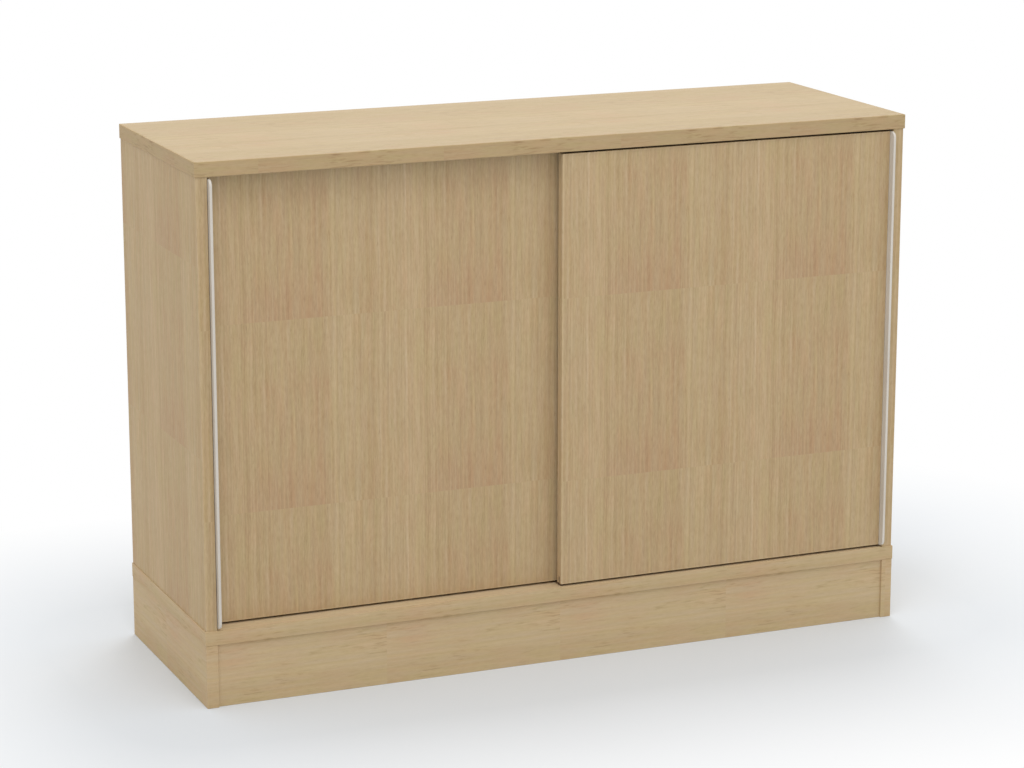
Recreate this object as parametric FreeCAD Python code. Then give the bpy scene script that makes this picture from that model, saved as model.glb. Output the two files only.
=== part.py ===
"""Sliding door cabinet in oak-decor board: a carcass on a plinth, two top-hung doors that pass
each other in two tracks, full-height pull strips and one adjustable shelf in each bay.

Millimetres. X runs to the right, Y to the back and Z up. The origin is on the floor, at the
middle of the whole outline, pull strips included. Each sub-part is written to parts/NAME.step.
"""

import FreeCAD, Part
import os

os.makedirs("parts", exist_ok=True)

Vector = FreeCAD.Vector
X = Vector(1, 0, 0)
Y = Vector(0, 1, 0)
Z = Vector(0, 0, 1)

# Carcass
overall_width = 1200.0
overall_height = 850.0
body_depth = 400.0
deck_thickness = 23.0  # the top and the base
side_thickness = 18.0
divider_thickness = 18.0
side_inset = 2.0  # how far the decks overhang the sides' outer faces
front_inset = 2.0  # and the sides' front edges
edge_band = 2.0
edge_radius = 1.0  # of an edge band's outer corners
back_panel_thickness = 8.0
back_panel_inset = 10.0  # from the carcass's back edges to the panel
back_groove_depth = 7.0
back_groove_play = 1.0  # left at the bottom of the groove
back_groove_fit = 0.1  # on each face of the panel

# Plinth
plinth_height = 100.0
plinth_board = 19.0
plinth_side_inset = 1.0  # the side boards run the full depth of the decks
plinth_front_inset = 3.5  # of the front board between them
plinth_back_inset = 3.0  # and of the back board
corner_block_width = 40.0
corner_block_height = 50.0
block_screw_offset = 11.0  # of the level screws from the block's middle
block_screw_rise = 10.0  # and from its mid-height

# Doors and pull strips
door_thickness = 16.0
front_door_set_back = 2.6  # behind the front edges of the sides
door_spacing = 7.7  # between the two doors
door_top_gap = 3.5
door_bottom_gap = 3.5
door_side_gap = 0.5  # from a pull strip to the side of the carcass
door_overlap = 8.4  # of the closed doors
travel_clearance = 1.3  # from a pull strip to the other door's edge when fully open
pull_thickness = 4.0
pull_stand_out = 7.6  # in front of the top
pull_corner_radius = 10.0
pull_edge_radius = 0.5
pull_screw_count = 5
pull_screw_inset = 50.0  # from the ends of the strip
pull_screw_length = 25.0

# Tracks let into the top, their end stops and their screws
track_width = 16.0
track_height = 11.0
track_wall = 1.2
track_slot = 6.0
track_end_gap = 1.0
track_screw_count = 5
track_screw_inset = 40.0
track_screw_radius = 1.5
track_screw_length = 9.0
track_screw_head_radius = 2.4
track_screw_head_height = 0.5
end_stop_length = 12.0
end_stop_fit = 0.2
stop_clearance = 0.3

# Hangers: a four-wheeled carriage, a bolt that sets the door's height, and a bracket in the door
hanger_inset = 60.0  # from the door's edges to the bolts
carriage_length = 34.0
carriage_width = 5.0
carriage_lift = 0.5  # above the lips of the track
carriage_height = 6.6
boss_length = 10.0
boss_width = 12.0
wheel_radius = 3.8
wheel_width = 3.0
wheel_edge_radius = 0.4
wheel_spacing = 22.0
wheel_lift = 0.3  # running gap above the lips of the track
wheel_side_gap = 0.3
axle_radius = 1.0
axle_bore_clearance = 0.05
axle_head_radius = 1.8
axle_head_width = 0.5
axle_head_gap = 0.1
bolt_radius = 2.0
bolt_clearance = 0.05
bolt_head_radius = 3.0
bolt_head_height = 2.2
bolt_shoulder = 2.3  # thickness of the boss under the bolt's head
bolt_engagement = 16.0
spanner_flats = 7.0
spanner_collar_height = 2.0
bracket_length = 40.0
bracket_width = 10.0
bracket_height = 22.0
bracket_fit = 0.1
bracket_screw_spacing = 28.0
bracket_screw_drop = 11.0  # below the top of the door
bracket_screw_length = 11.0
bracket_screw_head_height = 1.6

# Bottom guide, and the groove it runs in
guide_length = 7.4
guide_plate_height = 2.6
guide_plate_margin = 4.0  # in front of and behind the tongues' middles
guide_tongue_thickness = 3.6
guide_tongue_reach = 10.0  # into the groove
guide_screw_spacing = 10.0
guide_screw_length = 14.0
door_groove_width = 4.4
door_groove_depth = 12.0

# Inside: divider, shelves and shelf pins
divider_gap = 3.0  # behind the rear door
shelf_thickness = 18.0
shelf_side_gap = 1.0
shelf_set_back = 4.0  # behind the divider's front edge
shelf_back_gap = 2.0
pin_radius = 2.5
pin_reach = 7.0  # out of the wall
pin_depth = 7.0  # into the wall
pin_hole_play = 0.5
pin_seat_height = 3.0  # shelf's underside above the pin's axis
pin_seat_thickness = 1.5
pin_seat_width = 7.0
pin_column_inset = 50.0  # from the shelf's front and back edges
pin_row_pitch = 32.0
pin_rows = 9

# Cam fittings, dowels and wood screws
cam_radius = 7.5
cam_depth = 12.5
cam_play = 0.1
cam_distance = 24.0  # from the end of the board to the cam's axis
cam_bolt_radius = 2.5
cam_bolt_clearance = 0.3
cam_thread_radius = 3.0
cam_thread_length = 11.0
fitting_inset = 45.0  # from the divider's front edge and from the back panel
dowel_radius = 4.0
dowel_offset = 32.0  # from the cam beside it
dowel_deck_depth = 12.0
dowel_board_depth = 18.0
dowel_play = 1.0  # at the bottom of the hole
rail_dowel_inset = 25.0
wood_screw_radius = 1.75
wood_screw_head_radius = 3.4
wood_screw_head_height = 2.0
block_screw_bite = 12.0  # into what the block is screwed to

# Planes that several sub-parts share
body_front = (pull_stand_out - body_depth) / 2
body_back = body_front + body_depth
base_top = plinth_height + deck_thickness
top_under = overall_height - deck_thickness
side_outer = overall_width / 2 - side_inset
side_inner = side_outer - side_thickness
side_front = body_front + front_inset
back_panel_rear = body_back - back_panel_inset
back_panel_front = back_panel_rear - back_panel_thickness
door_bottom = base_top + door_bottom_gap
door_top = top_under - door_top_gap
front_door_face = side_front + front_door_set_back
front_door_back = front_door_face + door_thickness
rear_door_face = front_door_back + door_spacing
rear_door_back = rear_door_face + door_thickness
front_door_middle = (front_door_face + front_door_back) / 2
rear_door_middle = (rear_door_face + rear_door_back) / 2
pull_front = body_front - pull_stand_out
pull_outer = side_inner - door_side_gap
door_outer = pull_outer - pull_thickness
door_inner = door_overlap / 2
door_travel = door_outer - door_inner - travel_clearance
lip_top = top_under + track_wall
track_roof = top_under + track_height - track_wall
axle_height = lip_top + wheel_lift + wheel_radius
carriage_bottom = lip_top + carriage_lift
carriage_top = carriage_bottom + carriage_height
divider_front = rear_door_back + divider_gap
divider_face = divider_thickness / 2
shelf_front = divider_front + shelf_set_back
shelf_back = back_panel_front - shelf_back_gap
middle_row = (base_top + top_under) / 2 - pin_seat_height - shelf_thickness / 2
pin_columns = (shelf_front + pin_column_inset, shelf_back - pin_column_inset)
cam_ys = (divider_front + fitting_inset, back_panel_front - fitting_inset)
dowel_ys = (cam_ys[0] + dowel_offset, cam_ys[1] - dowel_offset)
plinth_outer = overall_width / 2 - plinth_side_inset
plinth_inner = plinth_outer - plinth_board
plinth_front = body_front + plinth_front_inset
plinth_back = body_back - plinth_back_inset


def block(x, y, z):
    """A box between three pairs of limits, each given in either order."""
    low = Vector(min(x), min(y), min(z))
    size = Vector(max(x), max(y), max(z)) - low
    return Part.makeBox(size.x, size.y, size.z, low)


def around(middle, width):
    """The limits of a width centred on a middle."""
    return (middle - width / 2, middle + width / 2)


def rod(radius, start, direction, length):
    """A round bar."""
    return Part.makeCylinder(radius, length, start, direction)


def spread(first, last, count):
    """Evenly spaced places from the first to the last."""
    return [first + (last - first) * i / (count - 1) for i in range(count)]


def cut(shape, tools):
    """The shape without its tools, as one clean solid."""
    return shape.cut(Part.makeCompound(tools)).removeSplitter()


def save(name, solids):
    Part.makeCompound(solids).exportStep(f"parts/{name}.step")


def banded(x, y, z, bands, square=""):
    """A board and its edge bands. Bands such as "-x" are taken off the block one after another,
    and their outer corners are rounded, except where they meet a face named in square."""
    limits = [sorted(x), sorted(y), sorted(z)]
    whole = block(*limits)
    soft = []
    for edge in whole.Edges:
        middle = edge.CenterOfMass
        faces = [
            "-+"[side] + "xyz"[axis]
            for axis in range(3)
            for side in range(2)
            if abs(middle[axis] - limits[axis][side]) < edge_radius / 2
        ]
        if any(face in bands for face in faces) and not any(face in square for face in faces):
            soft.append(edge)
    whole = whole.makeFillet(edge_radius, soft)
    strips = []
    for band in bands.split():
        axis = "xyz".index(band[1])
        side = "-+".index(band[0])
        inner = limits[axis][side] + edge_band * (1 - 2 * side)
        strip = [list(pair) for pair in limits]
        strip[axis][1 - side] = inner
        limits[axis][side] = inner
        strips.append(whole.common(block(*strip)))
    return whole.common(block(*limits)), strips


def wood_screw(head_face, direction, length):
    """A countersunk screw whose flat head lies in head_face, driven along direction."""
    head = Part.makeCone(
        wood_screw_head_radius, wood_screw_radius, wood_screw_head_height, head_face, direction
    )
    return head.fuse(rod(wood_screw_radius, head_face, direction, length)).removeSplitter()


def cam_fittings():
    """Cam housings in the uprights' ends and their bolts in the decks, with the holes for both."""
    housings, bolts, upright_holes, deck_holes = [], [], [], []
    for face, inward in ((-side_inner, -X), (side_inner, X), (divider_face, -X)):
        middle = face + inward.x * (divider_face if face == divider_face else side_thickness / 2)
        for deck, up in ((top_under, Z), (base_top, -Z)):
            for y in cam_ys:
                centre = Vector(face, y, deck - up.z * cam_distance)
                foot = Vector(middle, y, centre.z)
                neck = rod(cam_bolt_radius + cam_bolt_clearance, foot, up, cam_distance)
                housing = rod(cam_radius - cam_play, centre, inward, cam_depth - cam_play)
                housings.append(housing.cut(neck))
                shank = rod(cam_bolt_radius, foot, up, cam_distance)
                thread = rod(cam_thread_radius, Vector(middle, y, deck), up, cam_thread_length)
                bolts.append(shank.fuse(thread))
                upright_holes += [rod(cam_radius, centre, inward, cam_depth), neck]
                deck_holes.append(thread)
    return housings, bolts, upright_holes, deck_holes


def dowels():
    """Dowels between the uprights and the decks, and between the plinth's rail and its boards."""
    pegs, holes = [], []
    places = [
        (Vector(x, y, deck), up)
        for x in (-side_inner - side_thickness / 2, 0, side_inner + side_thickness / 2)
        for y in dowel_ys
        for deck, up in ((top_under, Z), (base_top, -Z))
    ]
    places += [
        (Vector(0, y, z), outward)
        for y, outward in ((plinth_front + plinth_board, -Y), (plinth_back - plinth_board, Y))
        for z in (rail_dowel_inset, plinth_height - rail_dowel_inset)
    ]
    for place, outward in places:
        start = place - outward * dowel_board_depth
        length = dowel_board_depth + dowel_deck_depth
        pegs.append(rod(dowel_radius, start, outward, length))
        deep = length + 2 * dowel_play
        holes.append(rod(dowel_radius, start - outward * dowel_play, outward, deep))
    return pegs, holes


def shelf_pins():
    """Spoon pins under both shelves, and the rows of holes in the sides and the divider."""
    pins, holes = [], []
    rows = [middle_row + pin_row_pitch * (i - (pin_rows - 1) / 2) for i in range(pin_rows)]
    walls = ((-side_inner, X), (-divider_face, -X), (divider_face, X), (side_inner, -X))
    for face, outward in walls:
        for y in pin_columns:
            seat_bottom = middle_row + pin_seat_height - pin_seat_thickness
            start = Vector(face, y, middle_row) - outward * pin_depth
            shaft = rod(pin_radius, start, outward, pin_depth + pin_reach)
            seat = block(
                (face, face + outward.x * pin_reach),
                around(y, pin_seat_width),
                (seat_bottom, middle_row + pin_seat_height),
            )
            pins.append(shaft.fuse(seat).removeSplitter())
            for z in rows:
                mouth = Vector(face, y, z)
                holes.append(rod(pin_radius, mouth, -outward, pin_depth + pin_hole_play))
    return pins, holes


def back_panel_space():
    """The back panel with the room that its grooves leave around it."""
    reach = side_inner + back_groove_depth
    return block(
        (-reach, reach),
        (back_panel_front - back_groove_fit, back_panel_rear + back_groove_fit),
        (base_top - back_groove_depth, top_under + back_groove_depth),
    )


def track(middle):
    """An open-bottomed aluminium channel between the sides, flush with the top's underside, with
    its screws and the groove that it lies in."""
    half = side_inner - track_end_gap
    outside = block(
        (-half, half), around(middle, track_width), (top_under, top_under + track_height)
    )
    inside = block((-half, half), around(middle, track_width - 2 * track_wall), (lip_top, track_roof))
    slot = block((-half, half), around(middle, track_slot), (top_under, lip_top))
    screws = []
    for x in spread(-half + track_screw_inset, half - track_screw_inset, track_screw_count):
        head_bottom = Vector(x, middle, track_roof - track_screw_head_height)
        head = rod(track_screw_head_radius, head_bottom, Z, track_screw_head_height)
        shank = rod(
            track_screw_radius, Vector(x, middle, track_roof), Z, track_wall + track_screw_length
        )
        screws.append(head.fuse(shank))
    groove = block(
        (-side_inner, side_inner), around(middle, track_width), (top_under, top_under + track_height)
    )
    return cut(outside, [inside, slot] + screws), screws, groove


def end_stops():
    """Rubber-faced blocks at both ends of each track, where the carriages end their travel."""
    reach = carriage_length / 2 + stop_clearance
    stops = []
    for middle, side in ((front_door_middle, 1), (rear_door_middle, -1)):
        closed = side * (door_outer - hanger_inset + reach)
        opened = -side * (door_inner - hanger_inset + reach + door_travel)
        for place in (closed, opened):
            away = 1 if place > 0 else -1
            stops.append(
                block(
                    (place, place + away * end_stop_length),
                    around(middle, track_width - 2 * track_wall - 2 * end_stop_fit),
                    (lip_top, track_roof - track_screw_head_height - end_stop_fit),
                )
            )
    return stops


def bottom_guide():
    """A plastic plate under the doors' overlap, with a tongue in each door's groove."""
    plate = block(
        around(0, guide_length),
        (front_door_middle - guide_plate_margin, rear_door_middle + guide_plate_margin),
        (base_top, base_top + guide_plate_height),
    )
    for middle in (front_door_middle, rear_door_middle):
        tongue = block(
            around(0, guide_length),
            around(middle, guide_tongue_thickness),
            (base_top, door_bottom + guide_tongue_reach),
        )
        plate = plate.fuse(tongue)
    centre = (front_door_middle + rear_door_middle) / 2
    screws = [
        wood_screw(Vector(0, y, base_top + guide_plate_height), -Z, guide_screw_length)
        for y in around(centre, guide_screw_spacing)
    ]
    return cut(plate, screws), screws


def plinth_corners():
    """Timber blocks in the plinth's corners, screwed to both boards and up into the base."""
    blocks, screws = [], []
    half = corner_block_width / 2
    low = plinth_height - corner_block_height
    board_screw = corner_block_width - wood_screw_head_height + block_screw_bite
    for side in (-1, 1):
        for end, corner_y in ((-1, plinth_front + plinth_board), (1, plinth_back - plinth_board)):
            middle = Vector(side * (plinth_inner - half), corner_y - end * half, low)
            timber = block(
                around(middle.x, corner_block_width),
                around(middle.y, corner_block_width),
                (low, plinth_height),
            )
            level = low + corner_block_height / 2
            inner_x = Vector(
                middle.x - side * half, middle.y - end * block_screw_offset, level + block_screw_rise
            )
            inner_y = Vector(
                middle.x - side * block_screw_offset, middle.y - end * half, level - block_screw_rise
            )
            fixings = [
                wood_screw(middle, Z, corner_block_height + block_screw_bite),
                wood_screw(inner_x, X * side, board_screw),
                wood_screw(inner_y, Y * end, board_screw),
            ]
            blocks.append(cut(timber, fixings))
            screws += fixings
    return blocks, screws


def hanging_bolt(x, y):
    """The bolt that a door hangs from: a round head, a spanner collar and a plain shank."""
    head_bottom = carriage_bottom + bolt_shoulder
    shank_bottom = door_top - bolt_engagement
    collar_bottom = door_top + (door_top_gap - spanner_collar_height) / 2
    head = rod(bolt_head_radius, Vector(x, y, head_bottom), Z, bolt_head_height)
    shank = rod(bolt_radius, Vector(x, y, shank_bottom), Z, head_bottom - shank_bottom)
    hexagon = Part.makePolygon(
        [
            Vector(x, y, collar_bottom)
            + FreeCAD.Rotation(Z, 60 * i + 30) * X * (spanner_flats / 3**0.5)
            for i in range(7)
        ]
    )
    collar = Part.Face(hexagon).extrude(Z * spanner_collar_height)
    return head.fuse([shank, collar]).removeSplitter()


def carriage(x, y):
    """The hanger's body in the track, with its axles and its four wheels as two pairs."""
    axle_xs = around(x, wheel_spacing)
    body = block(
        around(x, carriage_length), around(y, carriage_width), (carriage_bottom, carriage_top)
    )
    boss = block(around(x, boss_length), around(y, boss_width), (carriage_bottom, carriage_top))
    shoulder = carriage_bottom + bolt_shoulder
    hole = rod(bolt_radius + bolt_clearance, Vector(x, y, carriage_bottom), Z, bolt_shoulder)
    pocket = rod(bolt_head_radius + bolt_clearance, Vector(x, y, shoulder), Z, carriage_top - shoulder)
    wheel_inner = carriage_width / 2 + wheel_side_gap
    axle_half = wheel_inner + wheel_width + axle_head_gap
    axles, pairs = [], []
    for axle_x in axle_xs:
        axle = rod(axle_radius, Vector(axle_x, y - axle_half, axle_height), Y, 2 * axle_half)
        pair = []
        for out in (-1, 1):
            end = Vector(axle_x, y + out * axle_half, axle_height)
            axle = axle.fuse(rod(axle_head_radius, end, Y * out, axle_head_width))
            start = Vector(axle_x, y + out * wheel_inner, axle_height)
            disc = rod(wheel_radius, start, Y * out, wheel_width)
            rims = [edge for edge in disc.Edges if edge.Curve.TypeId == "Part::GeomCircle"]
            disc = disc.makeFillet(wheel_edge_radius, rims)
            pair.append(disc.cut(rod(axle_radius + axle_bore_clearance, start, Y * out, wheel_width)))
        axles.append(axle.removeSplitter())
        pairs.append(pair)
    return cut(body.fuse(boss), [hole, pocket] + axles), axles, pairs


def hanger_bracket(x, y, door_back):
    """The metal block let into the door's top edge, its two screws and its mortise."""
    space = [around(x, bracket_length), around(y, bracket_width), (door_top - bracket_height, door_top)]
    body = block(*space)
    mortise = block(
        around(x, bracket_length + 2 * bracket_fit),
        around(y, bracket_width + 2 * bracket_fit),
        (door_top - bracket_height - bracket_fit, door_top),
    )
    thread = rod(
        bolt_radius + bolt_clearance, Vector(x, y, door_top - bracket_height), Z, bracket_height
    )
    screws = []
    for screw_x in around(x, bracket_screw_spacing):
        seat = Vector(screw_x, door_back, door_top - bracket_screw_drop)
        head = rod(wood_screw_head_radius, seat, Y, bracket_screw_head_height)
        screws.append(head.fuse(rod(wood_screw_radius, seat, -Y, bracket_screw_length)))
    return cut(body, [thread] + screws), screws, mortise


def pull_strip(side, door_face, door_back):
    """The flat bar on the door's outer edge, with rounded front corners, and its screws."""
    bar = block((side * door_outer, side * pull_outer), (pull_front, door_back), (door_bottom, door_top))
    corners = [
        edge
        for edge in bar.Edges
        if abs(edge.CenterOfMass.x) < pull_outer
        and abs(edge.CenterOfMass.x) > door_outer
        and abs(edge.CenterOfMass.y - pull_front) < pull_edge_radius
    ]
    bar = bar.makeFillet(pull_corner_radius, corners)
    arris = [
        edge
        for edge in bar.Edges
        if edge.BoundBox.XLength < pull_edge_radius and edge.BoundBox.YMax < door_face
    ]
    bar = bar.makeFillet(pull_edge_radius, arris)
    screws = [
        wood_screw(
            Vector(side * pull_outer, (door_face + door_back) / 2, z),
            -X * side,
            pull_thickness + pull_screw_length,
        )
        for z in spread(door_bottom + pull_screw_inset, door_top - pull_screw_inset, pull_screw_count)
    ]
    return cut(bar, screws), screws


def door(name, side, door_face, door_back):
    """One door with everything that travels with it. Side is -1 for left and 1 for right."""
    middle = (door_face + door_back) / 2
    panel, bands = banded(
        (side * door_outer, -side * door_inner),
        (door_face, door_back),
        (door_bottom, door_top),
        "-x +x -z +z",
    )
    strip, strip_screws = pull_strip(side, door_face, door_back)
    groove = block(
        (side * door_outer, -side * door_inner),
        around(middle, door_groove_width),
        (door_bottom, door_bottom + door_groove_depth),
    )
    holes = [groove] + strip_screws
    brackets, bracket_screws, carriages, axles = [], [], [], []
    wheel_pair = 0
    hanger_xs = sorted((side * (door_outer - hanger_inset), -side * (door_inner - hanger_inset)))
    for x, end in zip(hanger_xs, ("left", "right")):
        bracket, screws, mortise = hanger_bracket(x, middle, door_back)
        body, pins, pairs = carriage(x, middle)
        brackets.append(bracket)
        bracket_screws += screws
        carriages.append(body)
        axles += pins
        holes += [mortise] + screws
        save(f"{name}_{end}_hanging_bolt", [hanging_bolt(x, middle)])
        for pair in pairs:
            wheel_pair += 1
            save(f"{name}_wheel_pair_{wheel_pair}", pair)
    save(f"{name}_panel", [cut(panel, holes)])
    save(f"{name}_edge_bands", [cut(band, holes) for band in bands])
    save(f"{name}_pull_strip", [strip])
    save(f"{name}_pull_screws", strip_screws)
    save(f"{name}_hanger_brackets", brackets)
    save(f"{name}_bracket_screws", bracket_screws)
    save(f"{name}_carriages", carriages)
    save(f"{name}_wheel_axles", axles)


def shelf(name, side):
    """An adjustable shelf, loose on its four pins."""
    x = (side * (side_inner - shelf_side_gap), side * (divider_face + shelf_side_gap))
    low = middle_row + pin_seat_height
    board, bands = banded(x, (shelf_front, shelf_back), (low, low + shelf_thickness), "-y", "-x +x")
    save(f"{name}_panel", [board])
    save(f"{name}_edge_band", bands)


housings, cam_bolts, cam_holes, thread_holes = cam_fittings()
pegs, peg_holes = dowels()
pins, pin_holes = shelf_pins()
panel_space = back_panel_space()
front_channel, front_track_screws, front_groove = track(front_door_middle)
rear_channel, rear_track_screws, rear_groove = track(rear_door_middle)
guide, guide_screws = bottom_guide()
corner_blocks, block_screws = plinth_corners()
track_screws = front_track_screws + rear_track_screws

deck_x = (-overall_width / 2, overall_width / 2)
deck_y = (body_front, body_back)
deck_holes = [panel_space] + thread_holes + peg_holes
top, top_bands = banded(deck_x, deck_y, (top_under, overall_height), "-y -x +x")
save("top_panel", [cut(top, deck_holes + [front_groove, rear_groove] + track_screws)])
save("top_edge_bands", top_bands)
base, base_bands = banded(deck_x, deck_y, (plinth_height, base_top), "-y -x +x")
save("base_panel", [cut(base, deck_holes + guide_screws + block_screws)])
save("base_edge_bands", base_bands)

upright_z = (base_top, top_under)
upright_bands = []
upright_holes = cam_holes + peg_holes + pin_holes
for side, name in ((-1, "left_side_panel"), (1, "right_side_panel")):
    across = (side * side_inner, side * side_outer)
    board, bands = banded(across, (side_front, body_back), upright_z, "-y", "-z +z")
    save(name, [cut(board, upright_holes + [panel_space])])
    upright_bands += bands
divider_y = (divider_front, back_panel_front - back_groove_fit)
divider, bands = banded((-divider_face, divider_face), divider_y, upright_z, "-y", "-z +z")
save("centre_divider", [cut(divider, upright_holes)])
save("upright_edge_bands", upright_bands + bands)

panel_reach = side_inner + back_groove_depth - back_groove_play
panel_margin = back_groove_depth - back_groove_play
back_panel = block(
    (-panel_reach, panel_reach),
    (back_panel_front, back_panel_rear),
    (base_top - panel_margin, top_under + panel_margin),
)
save("back_panel", [back_panel])

plinth_bands = []
for side, name in ((-1, "plinth_left_board"), (1, "plinth_right_board")):
    across = (side * plinth_inner, side * plinth_outer)
    board, bands = banded(across, (body_front, body_back), (0, plinth_height), "-y", "-z +z")
    save(name, [cut(board, block_screws)])
    plinth_bands += bands
save("plinth_edge_bands", plinth_bands)
between = (-plinth_inner, plinth_inner)
front_board = block(between, (plinth_front, plinth_front + plinth_board), (0, plinth_height))
back_board = block(between, (plinth_back - plinth_board, plinth_back), (0, plinth_height))
rail_y = (plinth_front + plinth_board, plinth_back - plinth_board)
rail = block(around(0, plinth_board), rail_y, (0, plinth_height))
save("plinth_front_board", [cut(front_board, block_screws + peg_holes)])
save("plinth_back_board", [cut(back_board, block_screws + peg_holes)])
save("plinth_centre_rail", [cut(rail, peg_holes)])
save("plinth_corner_blocks", corner_blocks)
save("plinth_screws", block_screws)

save("front_track", [front_channel])
save("rear_track", [rear_channel])
save("track_screws", track_screws)
save("track_end_stops", end_stops())
save("bottom_guide", [guide])
save("bottom_guide_screws", guide_screws)
save("cam_housings", housings)
save("cam_bolts", cam_bolts)
save("wooden_dowels", pegs)
save("shelf_pins", pins)
shelf("left_shelf", -1)
shelf("right_shelf", 1)
door("left_door", -1, rear_door_face, rear_door_back)
door("right_door", 1, front_door_face, front_door_back)
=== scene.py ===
import math

import bpy
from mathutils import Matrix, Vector


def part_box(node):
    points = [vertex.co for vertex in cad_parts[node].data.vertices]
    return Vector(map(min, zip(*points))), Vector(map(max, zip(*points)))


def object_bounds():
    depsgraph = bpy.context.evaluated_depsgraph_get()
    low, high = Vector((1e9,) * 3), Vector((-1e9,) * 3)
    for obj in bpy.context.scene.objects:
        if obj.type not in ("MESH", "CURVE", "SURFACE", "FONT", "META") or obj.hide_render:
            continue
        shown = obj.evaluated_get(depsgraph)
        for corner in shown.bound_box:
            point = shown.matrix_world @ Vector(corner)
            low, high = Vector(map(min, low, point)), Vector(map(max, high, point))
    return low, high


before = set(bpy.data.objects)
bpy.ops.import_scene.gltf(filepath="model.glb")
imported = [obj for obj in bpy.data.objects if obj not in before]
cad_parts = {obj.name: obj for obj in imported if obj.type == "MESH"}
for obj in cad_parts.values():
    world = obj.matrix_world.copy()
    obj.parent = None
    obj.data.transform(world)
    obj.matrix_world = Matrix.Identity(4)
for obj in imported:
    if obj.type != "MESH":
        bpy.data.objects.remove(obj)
cad_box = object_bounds()


# --- Sides and divider ----------------------------------------------------------------------
# The two sides and the divider are 18 mm chipboard, faced with melamine paper that is printed as
# light oak with its grain upright. Cams and dowels hold them to the base and the top. Their back
# edges, grooves and drilled holes are raw chipboard; their front edges are banded.

class Wire:
    """A value on its way through a finish. Sums and products of wires and numbers add Math nodes."""

    def __init__(self, tree, socket):
        self.tree = tree
        self.socket = socket

    def node(self, kind, settings, sockets, out=0):
        """Adds any other node. Settings may hold a ramp's stops; sockets hold numbers, colours or wires."""
        added = self.tree.nodes.new(kind)
        for name, value in settings.items():
            if name == "stops":
                ramp = added.color_ramp.elements
                ramp.remove(ramp[1])
                ramp[0].position, ramp[0].color = value[0]
                for place, colour in value[1:]:
                    ramp.new(place).color = colour
            else:
                setattr(added, name, value)
        for key, value in sockets.items():
            if isinstance(value, Wire):
                self.tree.links.new(value.socket, added.inputs[key])
            else:
                added.inputs[key].default_value = value
        return Wire(self.tree, added.outputs[out] if added.outputs else None)

    def maths(self, operation, *others):
        return self.node("ShaderNodeMath", {"operation": operation}, dict(enumerate((self, *others))))

    def __add__(self, other):
        return self.maths("ADD", other)

    def __mul__(self, other):
        return self.maths("MULTIPLY", other)

    def __sub__(self, other):
        return self.maths("SUBTRACT", other)

    def __rsub__(self, other):
        return self.maths("MULTIPLY_ADD", -1, other)

    __radd__ = __add__

    def ramp(self, *stops):
        """Grey levels or colours along the wire; each stop is a place and a level or a colour."""
        colours = [
            (place, (level, level, level, 1) if isinstance(level, float) else level)
            for place, level in stops]
        return self.node("ShaderNodeValToRGB", {"stops": colours}, {0: self})

    def tint(self, below, above):
        """The first colour where the wire is 0, and the second where it is 1."""
        return self.node("ShaderNodeMix", {"data_type": "RGBA"}, {0: self, 6: below, 7: above}, 2)


def paint(red, green, blue):
    """A colour card's values from 0 to 255 as a shader's colour: each over 255, to the power 2.2."""
    return (*((part / 255) ** 2.2 for part in (red, green, blue)), 1)


def noise(a, b, c, detail=2.0):
    """Smooth noise about 0.5 over three distances, each scaled so that a bump is one unit long.

    A plain number in place of the third distance picks one of many like patterns.
    """
    place = a.node("ShaderNodeCombineXYZ", {}, {0: a, 1: b, 2: c})
    return place.node("ShaderNodeTexNoise", {}, {"Vector": place, "Scale": 1.0, "Detail": detail})


def start_finish(name):
    """A new finish, and the wires of a point's place on the object in metres: x, y and z."""
    material = bpy.data.materials.new(name)
    material.use_nodes = True
    material.node_tree.nodes.clear()
    place = Wire(material.node_tree, None).node("ShaderNodeTexCoord", {}, {}, "Object")
    split = place.node("ShaderNodeSeparateXYZ", {}, {0: place}).socket.node
    return material, *(Wire(material.node_tree, socket) for socket in split.outputs)


def end_finish(material, colour, roughness, height, relief, **constants):
    """Joins colour, roughness and surface height to the shader; relief is the height's depth in metres."""
    bump = height.node("ShaderNodeBump", {}, {"Height": height, "Strength": 0.5, "Distance": relief})
    shader = bump.node("ShaderNodeBsdfPrincipled", {}, {
        "Base Color": colour, "Roughness": roughness, "Normal": bump,
        **{name.replace("_", " "): value for name, value in constants.items()}})
    shader.node("ShaderNodeOutputMaterial", {}, {"Surface": shader})
    return material


def dress(material, *names):
    """Gives a finish to parts of the frame."""
    for name in names:
        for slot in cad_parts[name].material_slots:
            slot.material = material


print_repeat = 0.297


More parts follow.
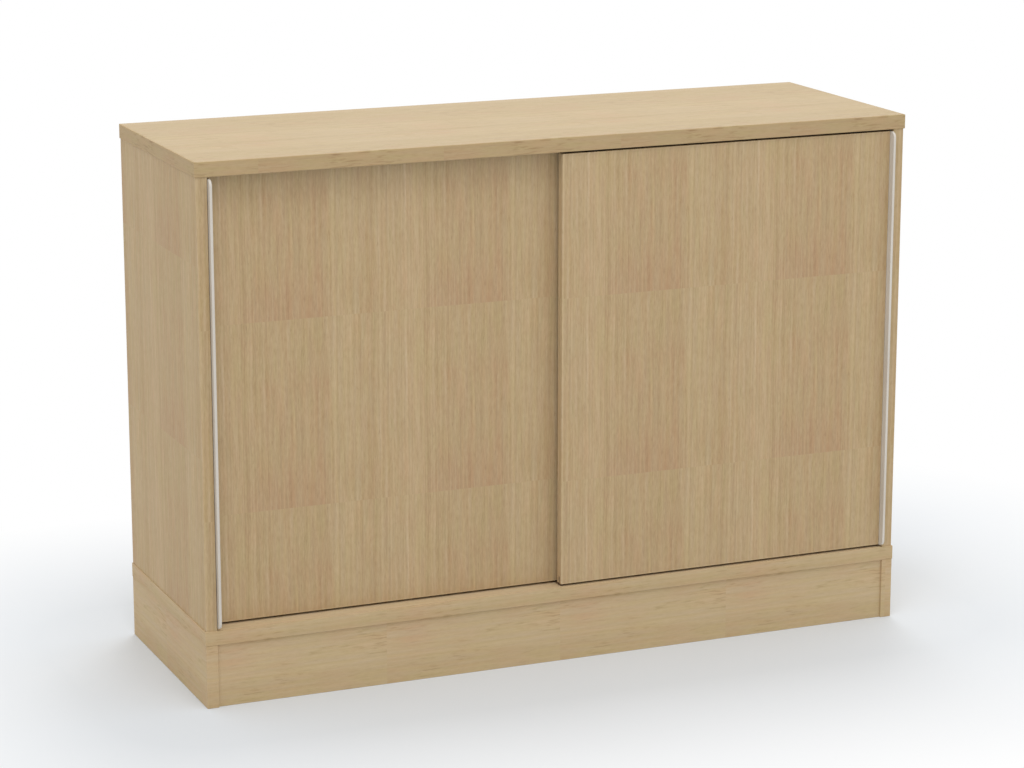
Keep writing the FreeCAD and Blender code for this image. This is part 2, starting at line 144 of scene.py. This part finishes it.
def oak_print(along, across, blush=0.4, lift=0.0, flecked=0.0):
    """Light oak as it is printed, from distances in metres along the grain and across it.

    Both distances wrap at the print's repeat, where the pattern starts again at a faint joint. A
    ramp across the grain lays the broad bands, and near the start of each repeat one half is
    rosier, by the share blush. Noise drawn out along the grain gives lines that run right through,
    streaks a hand long and dashes 11 mm long, and the tops of a finer noise are pores 1 mm wide.
    Broader noise drifts the hue between yellow, rose and chalk, and a lift makes the whole cut paler;
    where a board's lift is large, that paleness is painted light. The share flecked quiets the fine
    figure, strews short dark flecks in patches over it and clouds the hue. Gives the colour and the
    surface's height.
    """
    run = (along * (1 / print_repeat)).maths("FRACT")
    side = (across * (1 / print_repeat)).maths("FRACT")
    bands = side.ramp(
        (0.0, 0.48), (0.05, 0.51), (0.19, 0.47), (0.3, 0.50), (0.44, 0.465), (0.5, 0.53), (0.64, 0.52),
        (0.7, 0.455), (0.76, 0.53), (1.0, 0.54))
    warm = run.ramp((0.0, 1.0), (0.35, 0.25), (0.55, 0.25), (0.65, 0.5), (0.75, 0.0)) * side.ramp(
        (0.0, 0.4), (0.2, 0.9), (0.46, 1.0), (0.5, 0.05), (0.64, 0.1), (0.7, 0.7), (0.76, 0.05), (1.0, 0.3))
    waver = side + (noise(run * 2.5, side * 5, 0.0) - 0.5) * 0.015
    lines = noise(waver * 95, run * 0.7, 1.3)
    streaks = noise(waver * 75, run * 4, 9.2)
    dashes = noise(waver * 190, run * 26, 7.7)
    pores = noise(waver * 210, run * 24, 4.1).ramp((0.6, 0.0), (0.72, 1.0))
    figure = (lines - 0.5) * 0.40 + (streaks - 0.5) * 0.32 + (dashes - 0.5) * 0.37 - pores * 0.11
    shade = bands + figure * (1 - 0.5 * flecked) - warm * (0.13 * blush) + lift
    rosy = (warm + 0.5) * blush + (noise(waver * 26, run * 5, 2.6) - 0.5) * 1.2
    if flecked:
        patches = noise(side * 8, run * 4, 6.4).ramp((0.45, 0.0), (0.6, 1.0))
        flecks = noise(waver * 110, run * 11, 3.3).ramp((0.54, 0.0), (0.68, 1.0))
        shade = shade - flecks * patches * (0.24 * flecked)
        rosy = rosy + (noise(side * 4, run * 3, 8.8) - 0.5) * (1.8 * flecked)
    yellow = shade.ramp(
        (0.0, paint(138, 109, 72)), (0.3, paint(161, 137, 96)), (0.5, paint(175, 153, 111)),
        (0.7, paint(188, 165, 124)), (1.0, paint(204, 184, 145)))
    rose = shade.ramp((0.0, paint(143, 101, 70)), (0.5, paint(181, 146, 111)), (1.0, paint(208, 177, 143)))
    chalk = shade.ramp((0.0, paint(140, 112, 83)), (0.5, paint(177, 153, 121)), (1.0, paint(205, 185, 157)))
    chalky = (noise(waver * 55, run * 3, 5.5) - 0.5) * 1.4 + 0.25
    pored = dashes * 0.4 + 0.6 - pores * 0.6
    return chalky.tint(rosy.tint(yellow, rose), chalk), pored


chips_per_metre = 300
specks_per_metre = 900


def chipboard(x, y, z):
    """Pressed wood chips: each cell of a Voronoi pattern has its own tone, and fine noise crosses it."""
    place = x.node("ShaderNodeCombineXYZ", {}, {
        0: x * chips_per_metre, 1: y * chips_per_metre, 2: z * chips_per_metre})
    chips = place.node("ShaderNodeTexVoronoi", {}, {"Vector": place, "Scale": 1.0}, "Color")
    specks = noise(x * specks_per_metre, y * specks_per_metre, z * specks_per_metre)
    tone = chips * 0.6 + specks * 0.5
    colour = tone.ramp((0.2, paint(148, 119, 84)), (0.5, paint(179, 151, 113)), (0.8, paint(201, 177, 140)))
    return colour, tone


paper_thickness = 0.0001


def faced_board(name, face, grain, gloss=0.3, **cut):
    """Finishes a board: printed paper on the two faces that look along one axis, chipboard on the rest.

    The function grain turns a point's place into its distances along the grain and across it from a
    corner of the print. The cut says how this board's print differs.
    """
    material, *place = start_finish(name)
    low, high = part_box(name)
    off_middle = (place[face] - (low[face] + high[face]) / 2).maths("ABSOLUTE")
    papered = off_middle.maths("GREATER_THAN", (high[face] - low[face]) / 2 - paper_thickness)
    oak, pored = oak_print(*grain(*place), **cut)
    chips, lumps = chipboard(*place)
    handled = noise(place[0] * 5, place[1] * 5, place[2] * 5)
    colour = papered.tint(chips, oak)
    roughness = 0.9 - papered * (0.28 + handled * 0.12) - papered * pored * 0.04
    height = papered * pored + (1 - papered) * lumps
    dress(end_finish(material, colour, roughness, height, relief=0.0004, Specular_IOR_Level=gloss), name)


side_cut = {"gloss": 0.15, "lift": 0.07, "blush": 0.5}
faced_board("left_side_panel", 0, lambda x, y, z: (z - 0.097, 0.027 - y), **side_cut)
faced_board("right_side_panel", 0, lambda x, y, z: (z - 0.031, y + 0.070), **side_cut)
faced_board("centre_divider", 0, lambda x, y, z: (z - 0.160, 0.110 - y))


# --- Base and top ---------------------------------------------------------------------------
# Two 23 mm boards of the same make, grain from side to side. They overhang the sides by 2 mm, and
# the doors run between them. Only their back edges are unbanded. The top's paper is glossier, with
# short flecks. The base's print is lifted the palest of all: painted light on its lip and in the gaps.

top_cut = {"gloss": 0.4, "lift": 0.03, "blush": 0.0, "flecked": 0.8}
# The base's print is lifted far paler: painted light on its lip and in the gaps under the doors.
faced_board("base_panel", 2, lambda x, y, z: (x + 0.600, y + z), lift=0.44)
faced_board("top_panel", 2, lambda x, y, z: (x + 0.500, y - 0.043), **top_cut)


# --- Back panel -----------------------------------------------------------------------------
# An 8 mm board, faced on both sides, its grain from side to side. It slides into grooves in the
# sides, the base and the top, which hide its raw edges.

faced_board("back_panel", 1, lambda x, y, z: (x + 0.410, z - 0.123))


# --- Plinth ---------------------------------------------------------------------------------
# Four 19 mm boards on edge round a softwood rail, held at the corners by softwood blocks and
# screws. The side boards run the full depth, and the front one stands 3.5 mm back between them.
# Their grain runs level, in a flecked cut printed paler, which is painted light on these low boards.
# The blocks and the rail are planed, bare wood.

level_row = 0.106  # how far below the floor a row of the level print starts
# Both plinth cuts lift the print paler: painted light against the shade near the floor.
long_cut_painted_light = {"lift": 0.18, "blush": 0.25, "flecked": 1.0}
end_cut_painted_light = {"gloss": 0.15, "lift": 0.18, "flecked": 1.0}
faced_board("plinth_front_board", 1, lambda x, y, z: (x + 0.303, z + level_row), **long_cut_painted_light)
faced_board("plinth_back_board", 1, lambda x, y, z: (x + 0.140, z + 0.160), **long_cut_painted_light)
faced_board("plinth_left_board", 0, lambda x, y, z: (0.016 - y, z + level_row), **end_cut_painted_light)
faced_board("plinth_right_board", 0, lambda x, y, z: (y - 0.055, z + level_row), **end_cut_painted_light)

rings_per_metre = 300
fibres_per_metre = 900
pith = (0.06, 0.04)  # how far the rings' centre lies from the origin, both ways across the grain


def softwood(name, grain, *names):
    """Planed softwood: rings about a far-off pith band it, and fine noise draws fibres along the grain."""
    material, x, y, z = start_finish(name)
    along, one, other = grain(x, y, z)
    bow = (noise(along * 3, one * 8, other * 8) - 0.5) * 0.02
    off_one = one + pith[0]
    off_other = other + pith[1]
    reach = (off_one * off_one + off_other * off_other).maths("SQRT") + bow
    rings = (reach * rings_per_metre).maths("FRACT").ramp((0.0, 0.25), (0.7, 0.6), (0.93, 0.9), (1.0, 0.25))
    fibres = noise(along * 20, one * fibres_per_metre, other * fibres_per_metre)
    tone = rings * 0.6 + fibres * 0.5
    colour = tone.ramp(
        (0.15, paint(222, 194, 150)), (0.5, paint(207, 172, 124)), (0.95, paint(172, 128, 82)))
    roughness = 0.62 + fibres * 0.25
    dress(end_finish(material, colour, roughness, tone, relief=0.0005), *names)


softwood("softwood_rail", lambda x, y, z: (y, x, z), "plinth_centre_rail")
softwood("softwood_blocks", lambda x, y, z: (z, x, y), "plinth_corner_blocks")


# --- Edge bands -----------------------------------------------------------------------------
# Plastic strips 2 mm thick, printed to match the paper and glued round the boards' edges, their
# outer corners rounded to 1 mm. Handling polishes those corners and lightens them a little.

corner_scale = 3.4  # brings the middle of a rounded corner to 1


def turned_off(place):
    """How far a face turns away from all three axes: 0 on a flat, 1 midway round a rounded corner."""
    facing = place.node("ShaderNodeTexCoord", {}, {}, "Normal")
    size = facing.node("ShaderNodeVectorMath", {"operation": "ABSOLUTE"}, {0: facing})
    split = size.node("ShaderNodeSeparateXYZ", {}, {0: size}).socket.node
    nx, ny, nz = (Wire(size.tree, socket) for socket in split.outputs)
    return (1 - nx.maths("MAXIMUM", ny).maths("MAXIMUM", nz)) * corner_scale


def oak_band(name, grain, **cut):
    """Finishes edge bands: the oak print, rubbed lighter and smoother along the rounded corners."""
    material, *place = start_finish(name)
    oak, pored = oak_print(*grain(*place), **cut)
    rubbed = turned_off(place[0]) * noise(place[0] * 60, place[1] * 60, place[2] * 60)
    scuffs = noise(place[0] * 14, place[1] * 14, place[2] * 14, detail=4.0)
    colour = (rubbed * 0.5).tint(oak, paint(196, 175, 138))
    roughness = 0.50 + scuffs * 0.16 - rubbed * 0.12
    dress(end_finish(material, colour, roughness, pored, relief=0.0003, Specular_IOR_Level=0.2), name)


def level_grain(start):
    """Level grain that runs along a front edge and on round the ends."""
    return lambda x, y, z: (x + y + start, z + level_row)


front_start = 0.070  # where the upright print of the front edges and the doors starts, as an x
oak_band("upright_edge_bands", lambda x, y, z: (z, x - front_start), lift=0.06)
oak_band("top_edge_bands", level_grain(0.697), lift=0.01, blush=0.15, flecked=1.0)
# The base's and the plinth's bands are printed paler, like their boards: painted light.
oak_band("base_edge_bands", level_grain(0.797), lift=0.15, blush=0.25, flecked=1.0)
oak_band("plinth_edge_bands", level_grain(0.500), lift=0.17, blush=0.25, flecked=1.0)


# --- Cams, bolts, dowels and screws ---------------------------------------------------------
# Zinc cams sit in holes on the boards' inner faces and pull the heads of plated steel bolts.
# Turned beech dowels line the boards up, and plated screws go through the plinth's blocks.

def zinc(name, *names):
    """Die-cast zinc: dull grey with a mottle of flow marks, a little brighter where it rubs."""
    material, x, y, z = start_finish(name)
    flow = noise(x * 160, y * 160, z * 160, detail=4.0)
    grains = noise(x * 2200, y * 2200, z * 2200)
    rubbed = turned_off(x)
    colour = (flow + rubbed * 0.2).ramp(
        (0.25, paint(142, 144, 148)), (0.55, paint(168, 170, 173)), (0.85, paint(196, 197, 198)))
    roughness = 0.34 + flow * 0.25 - rubbed * 0.08
    dress(end_finish(material, colour, roughness, grains + flow, relief=0.00008, Metallic=0.9), *names)


def plated_steel(name, lay, *names):
    """Zinc-plated steel: bright, with a bluish and straw bloom, and turning marks across one direction."""
    material, x, y, z = start_finish(name)
    bloom = noise(x * 90, y * 90, z * 90, detail=3.0)
    marks = noise(lay(x, y, z) * 3000, bloom * 2, 0.5)
    colour = bloom.ramp(
        (0.3, paint(192, 199, 206)), (0.5, paint(208, 208, 205)), (0.72, paint(214, 207, 188)))
    roughness = 0.18 + bloom * 0.22 + marks * 0.08
    dress(end_finish(material, colour, roughness, marks, relief=0.00003, Metallic=1.0), *names)


zinc("zinc_cams", "cam_housings")
plated_steel("plated_bolts", lambda x, y, z: z, "cam_bolts")
plated_steel("plated_screws", lambda x, y, z: x + y + z, "plinth_screws", "track_screws")
softwood("beech_dowels", lambda x, y, z: (z, x * 3, y * 3), "wooden_dowels")


# --- Tracks ---------------------------------------------------------------------------------
# Two extruded aluminium channels with a slot below, anodised bronze, pressed into grooves under
# the top and screwed there. Rubber stops in their ends catch the carriages.

def bronze_aluminium(*names):
    """Satin bronze anodising: fine die lines along x, and a soft cloudiness in the gloss."""
    material, x, y, z = start_finish("bronze_aluminium")
    lines = noise(x * 3, y * 2600, z * 2600, detail=3.0)
    cloud = noise(x * 18, y * 90, z * 90)
    colour = (lines * 0.6 + cloud * 0.4).ramp((0.3, paint(104, 80, 52)), (0.7, paint(124, 98, 68)))
    roughness = 0.34 + cloud * 0.18 + lines * 0.06
    dress(end_finish(material, colour, roughness, lines, relief=0.00004, Metallic=0.8), *names)


def rubber(*names):
    """Moulded black rubber: a dusty bloom over a fine matt skin."""
    material, x, y, z = start_finish("black_rubber")
    skin = noise(x * 1500, y * 1500, z * 1500)
    dust = noise(x * 220, y * 220, z * 220, detail=4.0)
    colour = dust.ramp((0.4, paint(34, 34, 35)), (0.75, paint(62, 61, 59)))
    roughness = 0.68 + dust * 0.2
    dress(end_finish(material, colour, roughness, skin, relief=0.00008), *names)


bronze_aluminium("front_track", "rear_track")
rubber("track_end_stops")


# --- Bottom guide ---------------------------------------------------------------------------
# A moulded plate of dark brown nylon, screwed to the middle of the base with blackened screws.
# Its two tongues run in the grooves in the doors' bottom edges and keep both doors upright.

def nylon(name, dark, light, *names):
    """Moulded nylon: slightly uneven between two tones, matt with smoother rubbed corners."""
    material, x, y, z = start_finish(name)
    cloud = noise(x * 130, y * 130, z * 130, detail=3.0)
    skin = noise(x * 1800, y * 1800, z * 1800)
    rubbed = turned_off(x)
    colour = (cloud + rubbed * 0.15).ramp((0.25, dark), (0.8, light))
    roughness = 0.42 + skin * 0.14 - rubbed * 0.08
    dress(end_finish(
        material, colour, roughness, skin, relief=0.00005,
        Subsurface_Weight=0.1, Subsurface_Scale=0.002), *names)


def blackened(name, *names):
    """Blackened, oiled metal: near black with browner, drier patches, its corners rubbed towards grey."""
    material, x, y, z = start_finish(name)
    patches = noise(x * 140, y * 140, z * 140, detail=4.0)
    skin = noise(x * 2400, y * 2400, z * 2400)
    rubbed = turned_off(x) * noise(x * 400, y * 400, z * 400)
    colour = (patches + rubbed * 0.6).ramp(
        (0.3, paint(40, 36, 33)), (0.65, paint(56, 48, 41)), (1.0, paint(104, 98, 92)))
    roughness = 0.38 + patches * 0.25 - rubbed * 0.1
    dress(end_finish(material, colour, roughness, skin, relief=0.00005, Metallic=0.6), *names)


nylon("brown_nylon", paint(74, 54, 36), paint(94, 71, 49), "bottom_guide")
blackened("black_screws", "bottom_guide_screws")


# --- Shelves --------------------------------------------------------------------------------
# One 18 mm faced board in each bay, banded at the front, on plated spoon pins that plug into
# rows of 5 mm holes. A shelf's print starts at the same place on its board and its band.

left_start = 0.460
right_start = 0.380
faced_board("left_shelf_panel", 2, lambda x, y, z: (x + left_start, y + 0.020))
faced_board("right_shelf_panel", 2, lambda x, y, z: (x + right_start, y + 0.150))
oak_band("left_shelf_edge_band", lambda x, y, z: (x + left_start, z + y))
oak_band("right_shelf_edge_band", lambda x, y, z: (x + right_start, z + y))
plated_steel("shelf_pin_plating", lambda x, y, z: x, "shelf_pins")


# --- Doors ----------------------------------------------------------------------------------
# Two 16 mm faced boards, grain upright, banded all round. Their print was cut from one run, so
# the bands carry on from one door to the other.

def door_grain(x, y, z):
    """Upright grain on the doors' faces, where the print's bands lie side by side along x."""
    return z, x - front_start


def band_grain(x, y, z):
    """Upright grain on a door's side edges, where the print's bands lie across the door's thickness."""
    return z, x + y + 0.120


faced_board("left_door_panel", 1, door_grain, lift=0.04, blush=0.55)
faced_board("right_door_panel", 1, door_grain, lift=0.04, blush=0.55)
# The doors' edge bands are printed paler than the other bands: painted light on edges that sit in shade in
# the gaps.
oak_band("left_door_edge_bands", band_grain, lift=0.2)
oak_band("right_door_edge_bands", band_grain, lift=0.2)


# --- Pull strips ----------------------------------------------------------------------------
# A flat aluminium strip, 4 mm thick, stands on edge along each door's outer side and sticks out
# as a full-height grip, its front corners rounded. It is lacquered pale grey and screwed on.

def pale_lacquer(*names):
    """Sprayed satin lacquer: a slight orange peel, dulling finger marks, and corners rubbed lighter."""
    material, x, y, z = start_finish("pale_lacquer")
    peel = noise(x * 700, y * 700, z * 700)
    drift = noise(x * 6, y * 6, z * 6, detail=3.0)
    marks = noise(x * 60, y * 60, z * 25, detail=4.0).ramp((0.5, 0.0), (0.68, 1.0))
    rubbed = turned_off(x) * noise(x * 80, y * 80, z * 40)
    tone = drift + rubbed * 0.5 - marks * 0.06
    colour = tone.ramp(
        (0.3, paint(199, 191, 179)), (0.55, paint(205, 198, 187)), (1.0, paint(218, 212, 203)))
    roughness = 0.34 + marks * 0.14 + drift * 0.08
    dress(end_finish(material, colour, roughness, peel, relief=0.00005, Coat_Weight=0.1), *names)


pale_lacquer("left_door_pull_strip", "right_door_pull_strip")
plated_steel("pull_screw_plating", lambda x, y, z: x, "left_door_pull_screws", "right_door_pull_screws")


# --- Hanging gear ---------------------------------------------------------------------------
# Each door hangs from two nylon carriages, each with two pairs of wheels on steel axles inside
# the track. A black bolt with a spanner collar drops from each carriage into a black zinc bracket
# that is let into the door's top edge, and turning it lifts or lowers that end.

for door in ("left_door", "right_door"):
    blackened(f"{door}_brackets", f"{door}_hanger_brackets")
    blackened(f"{door}_bolts", f"{door}_left_hanging_bolt", f"{door}_right_hanging_bolt")
    wheel_pairs = (f"{door}_wheel_pair_{number}" for number in (1, 2, 3, 4))
    nylon(f"{door}_nylon", paint(214, 211, 202), paint(238, 237, 232), f"{door}_carriages", *wheel_pairs)
    plated_steel(f"{door}_axle_plating", lambda x, y, z: y, f"{door}_wheel_axles", f"{door}_bracket_screws")


# --- Studio ---------------------------------------------------------------------------------
# A pale floor that fades to white away from the cabinet, open under it so that light reaches its
# underside, two soft lamps high above, one behind and one in front, an even white surround, and a
# camera in front and to the left that looks down a little.

floor_reach = 12
floor_drop = 0.0003  # below the cabinet's underside
cover = 0.002  # how far the floor goes in under the plinth's outer edges
opening = [
    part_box("plinth_left_board")[0][0] + cover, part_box("plinth_front_board")[0][1] + cover,
    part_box("plinth_right_board")[1][0] - cover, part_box("plinth_back_board")[1][1] - cover]
outline = (-floor_reach, -floor_reach, floor_reach, floor_reach)
corners = [
    (x, y, -floor_drop)
    for left, front, right, back in (outline, opening)
    for x, y in ((left, front), (right, front), (right, back), (left, back))]
sheets = [(side, (side + 1) % 4, (side + 1) % 4 + 4, side + 4) for side in range(4)]
floor_mesh = bpy.data.meshes.new("floor")
floor_mesh.from_pydata(corners, [], sheets)
floor = bpy.data.objects.new("floor", floor_mesh)
bpy.context.scene.collection.objects.link(floor)


def seen_directly(start):
    """1 for the rays that show a surface: straight to the camera, in a mirror or through glass."""
    paths = start.node("ShaderNodeLightPath", {}, {}).socket.node.outputs
    straight = Wire(start.tree, paths["Is Camera Ray"])
    mirrored = Wire(start.tree, paths["Is Glossy Ray"])
    through = Wire(start.tree, paths["Is Transmission Ray"])
    return (straight + mirrored + through).maths("MINIMUM", 1.0)


white = (1, 1, 1, 1)
fade_start = 0.16  # metres outside the cabinet's box
fade_per_metre = 1.9
floor_material, x, y, z = start_finish("floor")
mottle = noise(x * 2, y * 2, z)
grey = mottle.ramp((0.3, paint(217, 221, 225)), (0.7, paint(219, 223, 227)))
painted = grey.node("ShaderNodeBsdfDiffuse", {}, {"Color": grey})
glowing = grey.node("ShaderNodeEmission", {}, {"Color": white, "Strength": 1.0})
beside = (x.maths("ABSOLUTE") - cad_box[1][0]).maths("MAXIMUM", 0.0)
before = (y.maths("ABSOLUTE") - cad_box[1][1]).maths("MAXIMUM", 0.0)
distance = (beside * beside + before * before).maths("SQRT")
share = ((distance - fade_start) * fade_per_metre).maths("MAXIMUM", 0.0).maths("MINIMUM", 1.0)
above = grey.node("ShaderNodeMixShader", {}, {0: seen_directly(x) * share, 1: painted, 2: glowing})
clear = above.node("ShaderNodeBsdfTransparent", {}, {})
from_below = above.node("ShaderNodeNewGeometry", {}, {}, "Backfacing")
surface = above.node("ShaderNodeMixShader", {}, {0: from_below, 1: above, 2: clear})
surface.node("ShaderNodeOutputMaterial", {}, {"Surface": surface})
floor_mesh.materials.append(floor_material)

light_level = 0.96  # of the surround as a light; seen directly it is 1
world = bpy.data.worlds.new("surround")
bpy.context.scene.world = world
world.use_nodes = True
world.node_tree.nodes.clear()
strength = seen_directly(Wire(world.node_tree, None)) * (1 - light_level) + light_level
surround = strength.node("ShaderNodeBackground", {}, {"Color": white, "Strength": strength})
surround.node("ShaderNodeOutputWorld", {}, {"Surface": surround})

lamp_size = 3.0
lamp_target = Vector((0, 0, 0.4))
for name, place, power in (("back_lamp", (1.6, 3.4, 5.6), 76), ("front_lamp", (-0.8, -2.6, 6.0), 84)):
    lamp_data = bpy.data.lights.new(name, "AREA")
    lamp_data.shape = "DISK"
    lamp_data.size = lamp_size
    lamp_data.energy = power
    lamp = bpy.data.objects.new(name, lamp_data)
    lamp.location = place
    lamp.rotation_euler = (lamp_target - lamp.location).to_track_quat("-Z", "Y").to_euler()
    bpy.context.scene.collection.objects.link(lamp)

camera_pitch = 13.647  # degrees below level
camera_azimuth = 22.890  # degrees round to the left of the front
camera_data = bpy.data.cameras.new("camera")
camera_data.lens = 110.41
camera_data.sensor_width = 36
camera = bpy.data.objects.new("camera", camera_data)
camera.location = (-1.9476, -4.5928, 1.6250)
camera.rotation_euler = (math.radians(90 - camera_pitch), 0, math.radians(-camera_azimuth))
bpy.context.scene.collection.objects.link(camera)
bpy.context.scene.camera = camera

bpy.context.scene.view_settings.view_transform = "Standard"
